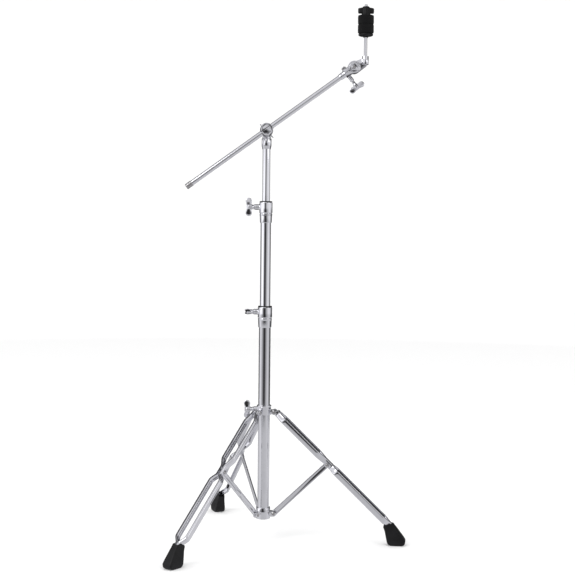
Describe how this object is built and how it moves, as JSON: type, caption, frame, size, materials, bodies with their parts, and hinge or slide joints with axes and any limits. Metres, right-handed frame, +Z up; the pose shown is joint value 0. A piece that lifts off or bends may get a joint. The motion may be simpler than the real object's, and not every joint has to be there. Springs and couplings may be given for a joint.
{
  "type": "cymbal boom stand",
  "caption": "Folding tripod stand with telescoping chromed tubes, a tilting boom rod and a felted cymbal holder on an adjustable tilter.",
  "frame": {"origin": "on the floor, under the axis of the upright tubes", "axes": "+Z up; +X the way the boom reaches to the cymbal; -Y the side that the boom rod runs on"},
  "size_m": [0.5719, 0.6109, 1.3103],
  "materials": {
    "chrome": "polished chrome plate",
    "steel": "nickel-plated steel",
    "nylon": "black moulded nylon",
    "rubber": "black moulded rubber",
    "felt": "black pressed felt"
  },
  "bodies": {
    "base": {"base_tube": "chrome", "tube_plug": "nylon", "hub": "chrome", "hub_rivets": "steel", "lower_clamp": "chrome"},
    "stay_1": {"stay_1": "chrome"},
    "leg_1": {"leg_1_bar_left": "chrome", "leg_1_bar_right": "chrome", "leg_1_rivets": "steel", "leg_1_foot": "rubber"},
    "leg_collar": {"leg_collar": "chrome", "collar_liner": "nylon"},
    "leg_2": {"leg_2_bar_left": "chrome", "leg_2_bar_right": "chrome", "leg_2_rivets": "steel", "leg_2_foot": "rubber"},
    "stay_2": {"stay_2": "chrome"},
    "leg_3": {"leg_3_bar_left": "chrome", "leg_3_bar_right": "chrome", "leg_3_rivets": "steel", "leg_3_foot": "rubber"},
    "stay_3": {"stay_3": "chrome"},
    "collar_screw": {"collar_screw": "chrome"},
    "lower_bush": {"lower_bush": "nylon"},
    "middle": {"mid_tube": "chrome", "upper_clamp": "chrome"},
    "lower_screw": {"lower_screw": "chrome"},
    "upper_bush": {"upper_bush": "nylon"},
    "upper": {"upper_tube": "chrome", "boom_base": "chrome", "friction_ring": "nylon"},
    "upper_screw": {"upper_screw": "chrome"},
    "boom_clamp": {"boom_drum": "chrome", "boom_stud": "steel"},
    "boom_nut": {"boom_wing_nut": "chrome"},
    "boom_bush": {"boom_bush": "nylon"},
    "boom": {"boom_rod": "chrome", "tail_cap": "steel", "tilter_clamp": "chrome", "tilter_nut": "steel"},
    "tilter_bolt": {"tilter_bolt": "chrome"},
    "cymbal_arm": {"tilter_arm": "chrome", "tilter_cap": "chrome", "tilter_screw": "steel", "cymbal_rod": "chrome", "seat_washer": "nylon", "seat_sleeve": "nylon", "lower_felt": "felt", "upper_felt": "felt"},
    "cymbal_nut": {"cymbal_nut": "nylon"}
  },
  "joints": [
    {"name": "tripod_fold", "type": "hinge", "parent": "base", "child": "stay_1", "pos_m": [-0.01601, -0.02049, 0.066], "axis": [0.788, -0.6157, 0], "range_deg": [-42, 12]},
    {"name": "leg_1_hinge", "type": "hinge", "parent": "stay_1", "child": "leg_1", "pos_m": [-0.09704, -0.1242, 0.19221], "axis": [0.788, -0.6157, 0], "range_deg": [-24.5, 84.5]},
    {"name": "collar_hinge", "type": "hinge", "parent": "leg_1", "child": "leg_collar", "pos_m": [-0.01601, -0.02049, 0.31843], "axis": [0.788, -0.6157, 0], "range_deg": [-42.5, 12.5]},
    {"name": "leg_2_hinge", "type": "hinge", "parent": "leg_collar", "child": "leg_2", "pos_m": [0.02575, -0.00362, 0.31843], "axis": [0.1392, 0.9903, 0], "range_deg": [-12.5, 42.5]},
    {"name": "stay_2_hinge", "type": "hinge", "parent": "leg_2", "child": "stay_2", "pos_m": [0.15608, -0.02193, 0.19221], "axis": [0.1392, 0.9903, 0], "range_deg": [-84.5, 24.5]},
    {"name": "leg_3_hinge", "type": "hinge", "parent": "leg_collar", "child": "leg_3", "pos_m": [-0.00974, 0.02411, 0.31843], "axis": [-0.9272, -0.3746, 0], "range_deg": [-12.5, 42.5]},
    {"name": "stay_3_hinge", "type": "hinge", "parent": "leg_3", "child": "stay_3", "pos_m": [-0.05904, 0.14614, 0.19221], "axis": [-0.9272, -0.3746, 0], "range_deg": [-84.5, 24.5]},
    {"name": "collar_screw_turn", "type": "hinge", "parent": "leg_collar", "child": "collar_screw", "pos_m": [-0.028, 0, 0.32443], "axis": [-1, 0, 0], "range_deg": [0, 720]},
    {"name": "lower_swivel", "type": "hinge", "parent": "base", "child": "lower_bush", "pos_m": [0, 0, 0.56469], "axis": [0, 0, 1], "range_deg": [-180, 180]},
    {"name": "lower_slide", "type": "slide", "parent": "lower_bush", "child": "middle", "axis": [0, 0, 1], "range_m": [-0.2, 0.06]},
    {"name": "lower_screw_turn", "type": "hinge", "parent": "base", "child": "lower_screw", "pos_m": [-0.028, 0, 0.56469], "axis": [-1, 0, 0], "range_deg": [0, 720]},
    {"name": "upper_swivel", "type": "hinge", "parent": "middle", "child": "upper_bush", "pos_m": [0, 0, 0.82069], "axis": [0, 0, 1], "range_deg": [-180, 180]},
    {"name": "upper_slide", "type": "slide", "parent": "upper_bush", "child": "upper", "axis": [0, 0, 1], "range_m": [-0.124, 0.1]},
    {"name": "upper_screw_turn", "type": "hinge", "parent": "middle", "child": "upper_screw", "pos_m": [-0.028, 0, 0.82069], "axis": [-1, 0, 0], "range_deg": [0, 720]},
    {"name": "boom_tilt", "type": "hinge", "parent": "upper", "child": "boom_clamp", "pos_m": [0, -0.0191, 1.007], "axis": [0, 1, 0], "range_deg": [-24, 66]},
    {"name": "boom_nut_turn", "type": "hinge", "parent": "boom_clamp", "child": "boom_nut", "pos_m": [0, 0.012, 1.007], "axis": [0, 1, 0], "range_deg": [0, 720]},
    {"name": "boom_turn", "type": "hinge", "parent": "boom_clamp", "child": "boom_bush", "pos_m": [0, -0.0191, 1.007], "axis": [0.8095, 0, 0.5871], "range_deg": [-180, 180]},
    {"name": "boom_slide", "type": "slide", "parent": "boom_bush", "child": "boom", "axis": [0.8095, 0, 0.5871], "range_m": [-0.19, 0.19]},
    {"name": "cymbal_tilt", "type": "hinge", "parent": "boom", "child": "cymbal_arm", "pos_m": [0.20967, -0.0191, 1.15905], "axis": [0, 1, 0], "range_deg": [-75, 70]},
    {"name": "tilter_bolt_turn", "type": "hinge", "parent": "boom", "child": "tilter_bolt", "pos_m": [0.19186, -0.0191, 1.14614], "axis": [0.5871, 0, -0.8095], "range_deg": [0, 720]},
    {"name": "cymbal_nut_turn", "type": "hinge", "parent": "cymbal_arm", "child": "cymbal_nut", "pos_m": [0.23667, -0.0191, 1.29425], "axis": [0, 0, 1], "range_deg": [0, 720]}
  ],
  "couplings": [
    {"joint": "leg_1_hinge", "follows": "tripod_fold", "ratio": -2},
    {"joint": "collar_hinge", "follows": "tripod_fold", "ratio": 1},
    {"joint": "leg_2_hinge", "follows": "tripod_fold", "ratio": -1},
    {"joint": "stay_2_hinge", "follows": "tripod_fold", "ratio": 2},
    {"joint": "leg_3_hinge", "follows": "tripod_fold", "ratio": -1},
    {"joint": "stay_3_hinge", "follows": "tripod_fold", "ratio": 2}
  ]
}
